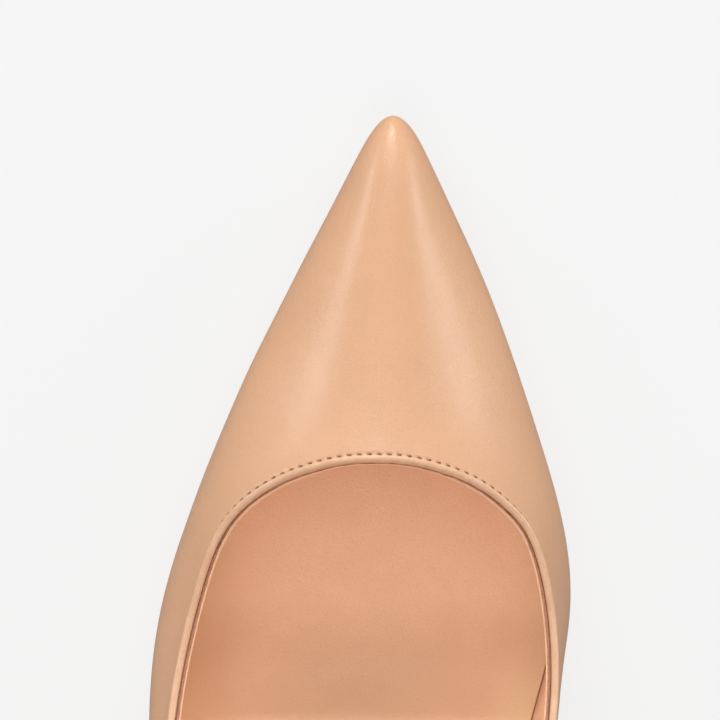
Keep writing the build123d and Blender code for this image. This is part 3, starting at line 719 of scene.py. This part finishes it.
def natural(values, count):
    """A smooth curve through rows of values at even parameters, sampled count times."""
    v = np.asarray(values, float)
    n = len(v)
    a = np.zeros((n, n))
    a[0, 0] = a[-1, -1] = 1
    b = np.zeros_like(v)
    for i in range(1, n - 1):
        a[i, i - 1:i + 2] = 1, 4, 1
        b[i] = 6 * (v[i + 1] - 2 * v[i] + v[i - 1])
    bend = np.linalg.solve(a, b.reshape(n, -1)).reshape(v.shape)
    x = np.linspace(0, n - 1, count)
    i = np.clip(x.astype(int), 0, n - 2)
    f = (x - i).reshape((-1,) + (1,) * (v.ndim - 1))
    g = 1 - f
    return g * v[i] + f * v[i + 1] + ((g**3 - g) * bend[i] + (f**3 - f) * bend[i + 1]) / 6


def seat_shape():
    """Knots of the seat's round part, across from -1 to 1 and from its front at 0 to its back at 1."""
    run = feather(np.linspace(BREAST_STATION, STATIONS - BREAST_STATION, KNOTS))
    front, back = run[0, 1], run[:, 1].max()
    return np.stack([(run[:, 0] - HEEL_X) / SEAT_HALF, (run[:, 1] - front) / (back - front)], -1)


def tip_shape():
    """The same for the tip, a circle that is cut off in front."""
    angle = np.radians(np.linspace(-132, 132, KNOTS))
    along = 0.5 + 0.5 * np.cos(angle)
    return np.stack([np.sin(angle), (along - along.min()) / (1 - along.min())], -1)


def heel_section(front, back, half_width, tip_share, inset):
    """One section of the heel as a closed row of places, its breast slightly hollow."""
    front, back = np.array(front, float), np.array(back, float)
    way = unit(back - front)
    front, back = front + way * inset, back - way * inset
    shape = (1 - tip_share) * seat_shape() + tip_share * tip_shape()
    half = half_width - inset
    points = [np.array([HEEL_X + u * half, *(front + v * (back - front))]) for u, v in shape]
    hollow = 0.02 * np.linalg.norm(back - front) * (1 - tip_share)
    middle = (points[0] + points[-1]) / 2 + np.array([0, *(way * hollow)])
    face = natural([points[-1], middle, points[0]], ACROSS)
    return np.concatenate([natural(points, AROUND), face[1:-1]])


def smooth_corners(loop, passes=3):
    """A closed row of places with its corners eased."""
    for _ in range(passes):
        loop = 0.5 * loop + 0.25 * (np.roll(loop, 1, -2) + np.roll(loop, -1, -2))
    return loop


def even_loop(loop, count):
    """A closed row of places (x, d) with even spacing."""
    closed = np.concatenate([loop, loop[:1]])
    run = distance_along(closed)
    at = np.linspace(0, run[-1], count, endpoint=False)
    return np.stack([np.interp(at, run, closed[:, k]) for k in range(2)], -1)


def heel_surface(inset):
    """Rows of places from the seat down to the tip, as levels by points round the heel."""
    sections = np.array([heel_section(*row, inset) for row in HEEL_SECTIONS])
    steps = 400
    columns = []
    for path in natural(sections, steps).transpose(1, 0, 2):
        above = path[:, 2] - bed(path[:, 1], SOLE) + 0.03
        k = int(np.argmax(above < 0))
        f = above[k - 1] / (above[k - 1] - above[k])
        start = k - 1 + f
        at = start + (steps - 1 - start) * np.linspace(0, 1, LEVELS) ** 1.15
        i = np.clip(at.astype(int), 0, steps - 2)
        g = (at - i)[:, None]
        columns.append(path[i] * (1 - g) + path[i + 1] * g)
    rows = np.array(columns).transpose(1, 0, 2)
    return np.array([smooth_corners(row) for row in rows])


def heel_cover():
    """The heel's leather: two walls joined round the seat and the tip, with a seam down the breast."""
    outer, inner = heel_surface(0.0), heel_surface(HEEL_WRAP - 0.04)
    normal = unit(outer - inner)
    across = outer[..., 0] - HEEL_X
    front = outer[..., 1] < outer[..., 1].min(axis=1, keepdims=True) + 2.5
    seam = np.exp(-(across / 0.28) ** 2) * front
    flap = 0.10 / (1 + np.exp(-(across - 0.1) / 0.12)) * np.exp(-np.clip(across, 0, None) / 3) * front
    outer = outer - normal * (0.20 * seam)[..., None] + normal * (flap * 0.6)[..., None]
    outer = outer - normal * (0.03 * wave(outer, 12.0, 21))[..., None]
    lip = np.clip((np.linspace(0, 1, LEVELS) - 0.985) / 0.015, 0, 1)[:, None, None] ** 2
    outer = outer - normal * 0.25 * lip
    grid = np.concatenate([outer, inner[::-1]])
    # Painted shade along the breast seam's dip.
    groove_shade = 0.8 * np.concatenate([seam, np.zeros_like(seam)])
    make_mesh("heel_cover_leather", grid, "heel_cover", "heel_leather", faces=tube_faces(*groove_shade.shape, True),
              values={"bead": np.zeros_like(groove_shade), "groove_shade": groove_shade})


def top_piece():
    """The replaceable tip: a round D with eased edges."""
    outline = (HEEL_X, TIP_FRONT) + natural(tip_shape(), 120) * (TIP_HALF, TIP_LONG)
    front = natural([outline[-1], (outline[0] + outline[-1]) / 2, outline[0]], 40)
    flat = smooth_corners(even_loop(np.concatenate([outline, front[1:-1]]), 168), 4)
    way = unit((HEEL_X, 210.0) - flat)
    face = (4.0, 2.0)
    low_edge = [(0.55, 0.0), (0.32, 0.04), (0.14, 0.14), (0.04, 0.32), (0.0, 0.6), (0.0, 1.6), (0.02, 2.8)]
    high_edge = [(0.0, 4.2), (0.02, 4.75), (0.10, 4.93), (0.25, TOP_PIECE)]
    rows = []
    for inset, z in [*((f, 0.0) for f in face), *low_edge, *high_edge, *((f, TOP_PIECE) for f in face[::-1])]:
        rows.append(np.column_stack([flat + way * inset, np.full(len(flat), z)]))
    make_mesh("heel_tip_top_piece", np.swapaxes(rows, 0, 1), "heel_top_piece", "top_piece", "heel_tip", 60)


# ---- materials ----
def linear(red, green, blue):
    """A colour as the shader takes it, from screen values 0 to 255."""
    return [((v / 255 + 0.055) / 1.055) ** 2.4 for v in (red, green, blue)] + [1.0]


def shade(color, factor):
    """A colour made darker or lighter."""
    return [min(1.0, v * factor) for v in color[:3]] + [1.0]


class Look:
    """A node material while it is being wired up. Its patterns are laid out in the model's own frame."""

    def __init__(self, name):
        self.material = bpy.data.materials.new(name)
        self.material.use_nodes = True
        self.tree = self.material.node_tree
        self.shader = self.tree.nodes["Principled BSDF"]
        self.place = self.add("ShaderNodeTexCoord").outputs["Object"]

    def add(self, kind, settings=None, inputs=None):
        node = self.tree.nodes.new(kind)
        for key, value in (settings or {}).items():
            setattr(node, key, value)
        for key, value in (inputs or {}).items():
            self.feed(node.inputs[key], value)
        return node

    def feed(self, socket, value):
        if isinstance(value, bpy.types.NodeSocket):
            self.tree.links.new(value, socket)
        else:
            socket.default_value = value

    def noise(self, size, detail=3.0, rough=0.5, place=None):
        """Cloudy noise with bumps about size mm across."""
        place = place or self.place
        inputs = {"Vector": place, "Scale": 1000 / size, "Detail": detail, "Roughness": rough}
        return self.add("ShaderNodeTexNoise", None, inputs).outputs["Fac"]

    def cells(self, size, feature="DISTANCE_TO_EDGE"):
        """Cells about size mm across: the distance to their edge, or to their middle with F1."""
        inputs = {"Vector": self.place, "Scale": 1000 / size, "Randomness": 1.0}
        return self.add("ShaderNodeTexVoronoi", {"feature": feature}, inputs).outputs["Distance"]

    def value(self, name):
        """A value stored on the points of the mesh."""
        return self.add("ShaderNodeAttribute", {"attribute_name": name}).outputs["Fac"]

    def spread(self, value, low, high, to_low, to_high):
        inputs = {"Value": value, "From Min": low, "From Max": high, "To Min": to_low, "To Max": to_high}
        return self.add("ShaderNodeMapRange", {"clamp": True}, inputs).outputs["Result"]

    def math(self, operation, a, b=0.0):
        node = self.add("ShaderNodeMath", {"operation": operation})
        self.feed(node.inputs[0], a)
        self.feed(node.inputs[1], b)
        return node.outputs[0]

    def mix(self, share, a, b):
        node = self.add("ShaderNodeMix", {"data_type": "RGBA"})
        for index, value in ((0, share), (6, a), (7, b)):
            self.feed(node.inputs[index], value)
        return node.outputs[2]

    def patch(self, tone, pattern, low, high, share, other):
        """Mixes another colour into tone, by up to share, as the pattern goes from low to high."""
        return self.mix(self.spread(pattern, low, high, 0, share), tone, other)

    def bump(self, height, depth, after=None, strength=1.0):
        """A bump of height 0 to 1 that is depth mm deep, on top of another one."""
        inputs = {"Height": height, "Distance": depth / 1000, "Strength": strength}
        if after is not None:
            inputs["Normal"] = after
        return self.add("ShaderNodeBump", None, inputs).outputs["Normal"]

    def finish(self, **sockets):
        """Feeds the shader's inputs, named with _ for each space."""
        for key, value in sockets.items():
            self.feed(self.shader.inputs[key.replace("_", " ")], value)
        return self.material


# Paler tone of the turned edges: partly rub wear, partly a painted highlight along the bead.
WEAR_AND_SHEEN_TONE = linear(247, 212, 184)


def leather(name, color, gloss, coat, grain=0.42, mottle=0.035, edges=False, painted_rim_light=False):
    """Smooth leather: fine cells and pores, slow colour changes, and where asked a paler tone on turned edges
    that is partly rub wear and partly painted highlight, painted shade in grooves and painted light towards a
    rim.
    """
    look = Look(name)
    slow, medium, fine = look.noise(24.0, 3.0), look.noise(5.0, 4.0, 0.6), look.noise(0.5, 4.0, 0.62)
    tone = look.patch(shade(color, 1 - mottle), slow, 0.3, 0.7, 1, shade(color, 1 + mottle))
    tone = look.patch(tone, medium, 0.3, 0.7, 0.35, shade(color, 1 - 1.4 * mottle))
    tone = look.patch(tone, fine, 0.56, 0.70, 0.34, shade(color, 0.84))
    cell = look.cells(grain)
    tone = look.mix(look.spread(cell, 0.0, 0.10, 0.16, 0), tone, shade(color, 0.72))
    rough = look.spread(medium, 0.25, 0.75, gloss - 0.05, gloss + 0.08)
    rough = look.math("ADD", rough, look.spread(fine, 0.3, 0.7, -0.03, 0.05))
    # Painted light: the sock is painted paler within 10 mm of its rim, against the shade that the walls cast
    # near its edges.
    if painted_rim_light:
        tone = look.mix(look.spread(look.value("rim"), 0.0, 10.0, 0.75, 0.0), tone, shade(color, 1.42))
    if edges:
        bead, groove_shade = look.value("bead"), look.value("groove_shade")
        # Rub wear and painted highlight: the bead is mixed, in patches, towards a paler tone.
        wear_and_sheen_patches = look.spread(look.noise(3.2, 4.0, 0.65), 0.40, 0.66, 0.35, 1.0)
        wear_and_sheen = look.math("MULTIPLY", bead, wear_and_sheen_patches)
        tone = look.mix(look.math("MULTIPLY", wear_and_sheen, 0.34), tone, WEAR_AND_SHEEN_TONE)
        # Painted shade: the leather is darkened in the stitch slots and along the heel's breast seam, where
        # shade falls in the dips.
        tone = look.mix(look.math("MULTIPLY", groove_shade, 0.42), tone, shade(color, 0.42))
        rough = look.math("ADD", rough, look.math("MULTIPLY", wear_and_sheen, 0.07))
    normal = look.bump(look.spread(cell, 0.0, 0.16, 0, 1), 0.018)
    normal = look.bump(fine, 0.075, normal)
    normal = look.bump(medium, 0.10, normal, 0.6)
    return look.finish(Base_Color=tone, Roughness=rough, Normal=normal, Coat_Weight=coat,
                       Coat_Roughness=0.26, Sheen_Weight=0.04, Sheen_Roughness=0.5)


def raw_edge(name, color):
    """The cut, fibrous edge of leather."""
    look = Look(name)
    fibre, clump = look.noise(0.22, 4.0, 0.7), look.noise(1.1, 3.0, 0.6)
    tone = look.patch(shade(color, 0.55), fibre, 0.35, 0.68, 1, shade(color, 1.35))
    tone = look.patch(tone, clump, 0.4, 0.7, 0.5, shade(color, 0.75))
    rough = look.spread(clump, 0.3, 0.7, 0.78, 0.95)
    return look.finish(Base_Color=tone, Roughness=rough, Normal=look.bump(fibre, 0.12), Sheen_Weight=0.2,
                       Sheen_Roughness=0.6)


def suede(name, color):
    """Napped leather: short fibres that lie in soft patches."""
    look = Look(name)
    nap, fibre, patches = look.noise(0.3, 5.0, 0.75), look.cells(0.25, "F1"), look.noise(9.0, 3.0, 0.6)
    tone = look.patch(shade(color, 0.86), patches, 0.35, 0.65, 1, shade(color, 1.12))
    tone = look.patch(tone, nap, 0.35, 0.7, 0.5, shade(color, 0.7))
    rough = look.spread(patches, 0.3, 0.7, 0.8, 0.95)
    normal = look.bump(nap, 0.10, look.bump(fibre, 0.05))
    return look.finish(Base_Color=tone, Roughness=rough, Normal=normal, Sheen_Weight=0.35,
                       Sheen_Roughness=0.45)


def thread(name, color):
    """Twisted polyester thread."""
    look = Look(name)
    strand, wear = look.noise(0.16, 2.0, 0.4), look.noise(2.0, 3.0, 0.6)
    tone = look.patch(shade(color, 0.72), strand, 0.35, 0.65, 1, shade(color, 1.12))
    tone = look.patch(tone, wear, 0.4, 0.7, 0.3, shade(color, 0.85))
    rough = look.spread(wear, 0.3, 0.7, 0.5, 0.68)
    return look.finish(Base_Color=tone, Roughness=rough, Normal=look.bump(strand, 0.04), Sheen_Weight=0.1)


def sole_leather(name, color, edge_color):
    """Sole leather: dyed edge, a closed channel near it, and fine scuffs where it meets the ground."""
    look = Look(name)
    rim, tread = look.value("rim"), look.value("tread")
    slow, fine = look.noise(16.0, 4.0, 0.6), look.noise(0.35, 3.0, 0.6)
    stretched = look.add("ShaderNodeMapping", None, {"Vector": look.place, "Scale": (1.0, 0.12, 1.0)})
    scuff = look.noise(1.6, 5.0, 0.7, stretched.outputs["Vector"])
    tone = look.patch(shade(color, 0.93), slow, 0.3, 0.7, 1, shade(color, 1.05))
    tone = look.patch(tone, fine, 0.5, 0.75, 0.25, shade(color, 0.8))
    scuffs = look.spread(scuff, 0.52, 0.66, 0, 0.55)
    scuffs = look.math("MULTIPLY", scuffs, look.spread(tread, 0.0, 1.0, 0.12, 1.0))
    tone = look.mix(scuffs, tone, shade(color, 0.62))
    from_channel = look.math("ABSOLUTE", look.math("SUBTRACT", rim, CHANNEL))
    channel = look.math("SUBTRACT", 1.0, look.spread(from_channel, 0.0, 0.22, 0, 1))
    tone = look.mix(look.math("MULTIPLY", channel, 0.45), tone, shade(color, 0.5))
    tone = look.mix(look.spread(rim, 0.75, 0.95, 1.0, 0.0), tone, edge_color)
    rough = look.math("ADD", look.spread(slow, 0.3, 0.7, 0.36, 0.48), look.math("MULTIPLY", scuffs, 0.4))
    height = look.math("SUBTRACT", look.spread(fine, 0.3, 0.7, 0.8, 1.0), look.math("MULTIPLY", channel, 0.8))
    normal = look.bump(height, 0.06, look.bump(scuff, 0.03))
    return look.finish(Base_Color=tone, Roughness=rough, Normal=normal, Coat_Weight=0.08, Coat_Roughness=0.3)


def moulded(name, color, gloss, metallic=0.0):
    """Moulded plastic or rubber, or turned metal: fine texture, faint flow marks and rubbed patches."""
    look = Look(name)
    slow, fine = look.noise(7.0, 4.0, 0.6), look.noise(0.25, 3.0, 0.6)
    tone = look.patch(shade(color, 0.9), slow, 0.3, 0.7, 1, shade(color, 1.06))
    tone = look.patch(tone, fine, 0.55, 0.75, 0.2, shade(color, 0.75))
    rough = look.spread(slow, 0.3, 0.7, gloss - 0.06, gloss + 0.1)
    return look.finish(Base_Color=tone, Roughness=rough, Normal=look.bump(fine, 0.02), Metallic=metallic)


def granular(name, color, size, contrast):
    """Foam, cork, fibreboard or bonded cloth: grains of one size with pits between them."""
    look = Look(name)
    grain, slow, pits = look.cells(size, "F1"), look.noise(12.0, 3.0), look.noise(size, 4.0, 0.65)
    tone = look.patch(shade(color, 1 + contrast * 0.5), grain, 0.1, 0.7, 1, shade(color, 1 - contrast))
    tone = look.patch(tone, slow, 0.35, 0.65, 0.3, shade(color, 0.85))
    normal = look.bump(grain, 0.12, look.bump(pits, 0.08))
    rough = look.spread(slow, 0.3, 0.7, 0.80, 0.93)
    return look.finish(Base_Color=tone, Roughness=rough, Normal=normal, Sheen_Weight=0.05)


UPPER_TONE = linear(217, 166, 127)
LOOKS = {
    "upper_leather": leather("calf_upper", UPPER_TONE, 0.33, 0.22, edges=True),
    "heel_leather": leather("calf_heel_cover", UPPER_TONE, 0.33, 0.22, edges=True),
    "lining_leather": leather("kid_lining", linear(244, 193, 157), 0.5, 0.02, grain=0.6),
    "sock_leather": leather("kid_sock", linear(244, 194, 154), 0.48, 0.03, 0.6, 0.04, painted_rim_light=True),
    "raw_edge": raw_edge("cut_lining_edge", linear(196, 134, 98)),
    "suede": suede("suede_grip", linear(205, 156, 122)),
    # The thread's dark brown stands in for the shade on stitches sunk in their slots: painted shade over the
    # thread's own colour.
    "thread": thread("topline_thread", linear(152, 104, 74)),
    "sole_leather": sole_leather("sole_leather", linear(214, 168, 128), linear(196, 144, 112)),
    "top_piece": moulded("top_piece_rubber", linear(188, 140, 110), 0.55),
    "tape": granular("woven_tape", linear(150, 108, 80), 0.5, 0.3),
    "stiffener": granular("bonded_stiffener", linear(232, 226, 212), 0.9, 0.15),
    "backing": granular("cloth_backing", linear(238, 232, 220), 0.6, 0.15),
    "fibreboard": granular("pressed_fibreboard", linear(176, 148, 118), 1.2, 0.25),
    "foam": granular("latex_foam", linear(238, 226, 196), 0.7, 0.2),
    "cork_filler": granular("cork_filler", linear(150, 108, 72), 1.8, 0.45),
    "heel_plastic": moulded("heel_core_plastic", linear(226, 218, 202), 0.5),
    "steel": moulded("spring_steel", linear(178, 178, 180), 0.32, metallic=1.0),
}


def dress_inner_nodes():
    """Gives each CAD node that stays the procedural material of its slot in the record."""
    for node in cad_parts.values():
        for k, holder in enumerate(node.material_slots):
            slot = (holder.material.name if holder.material else "").split(".")[0]
            if slot in LOOKS:
                node.data.materials[k] = LOOKS[slot]


# ---- building the visual model ----
upper_piece("vamp_leather", -SEAM, SEAM, "vamp")
upper_piece("quarter_outer_leather", SEAM, BACK, "quarter_outer")
upper_piece("quarter_inner_leather", -BACK, -SEAM, "quarter_inner")
stitches()
lining_piece("vamp_lining_leather", -LINING_SEAM, LINING_SEAM, "vamp_lining")
lining_piece("quarter_lining_leather", LINING_SEAM, STATIONS - LINING_SEAM, "quarter_lining")
heel_grip()
foot_bed()
outsole()
heel_cover()
top_piece()
dress_inner_nodes()

# ---- floor, light and camera ----
scene = bpy.context.scene
scene.view_settings.view_transform = "Standard"
scene.view_settings.look = "None"
FLOOR_GLOW = 0.793  # light of the floor's own, so that it comes out as pale as in the photo
SHOE_AIM = (0, 0.05, 0.02)


def grey(value):
    return (value, value, value, 1)


def floor():
    """A plain pale floor, level with the lowest part of the shoe."""
    look = Look("pale_floor")
    tone = look.patch(grey(0.10), look.noise(400.0), 0.3, 0.7, 1, grey(0.102))
    mesh = bpy.data.meshes.new("floor")
    half = 4.0
    corners = [(-half, -half, 0), (half, -half, 0), (half, half, 0), (-half, half, 0)]
    mesh.from_pydata(corners, [], [(0, 1, 2, 3)])
    mesh.materials.append(look.finish(Base_Color=tone, Roughness=0.9, Emission_Color=grey(1),
                                      Emission_Strength=FLOOR_GLOW))
    plane = bpy.data.objects.new("floor", mesh)
    scene.collection.objects.link(plane)
    plane.location.z = CAD_LOW[2]
    plane.visible_glossy = False


def soft_light(name, place, aim, size, watts):
    """A rectangular area light that the camera doesn't see."""
    light = bpy.data.lights.new(name, "AREA")
    light.shape = "RECTANGLE"
    light.size, light.size_y = size
    light.energy = watts
    lamp = bpy.data.objects.new(name, light)
    scene.collection.objects.link(lamp)
    lamp.location = place
    lamp.rotation_euler = (Vector(aim) - Vector(place)).to_track_quat("-Z", "Y").to_euler()
    lamp.visible_camera = False


floor()
soft_light("overhead", (-0.18, 0.05, 1.89), (0, 0.05, 0), (2.0, 2.0), 10.8)
soft_light("front_left", (-1.0, 0.80, 0.42), SHOE_AIM, (0.38, 0.35), 4.8)
soft_light("front_right", (1.05, 0.62, 0.37), SHOE_AIM, (0.40, 0.35), 5.0)
soft_light("front", (0, 1.24, 0.46), SHOE_AIM, (0.42, 0.15), 7.5)
soft_light("front_mid", (0, 1.05, 0.86), SHOE_AIM, (0.5, 0.35), 1.7)
soft_light("rear", (-0.10, -0.80, 1.6), (0, 0.0, 0.03), (1.1, 0.7), 10.0)

world = bpy.data.worlds.new("studio")
world.use_nodes = True
background = world.node_tree.nodes["Background"]
background.inputs["Color"].default_value = grey(0.93)
background.inputs["Strength"].default_value = 0.16
scene.world = world

camera_data = bpy.data.cameras.new("camera")
camera_data.lens = 400.0
camera_data.sensor_width = 36.0
camera_data.clip_end = 20.0
camera = bpy.data.objects.new("camera", camera_data)
scene.collection.objects.link(camera)
camera.location = (-0.00015, 0.0661, 1.532)  # straight above, looking down with the toe up
scene.camera = camera
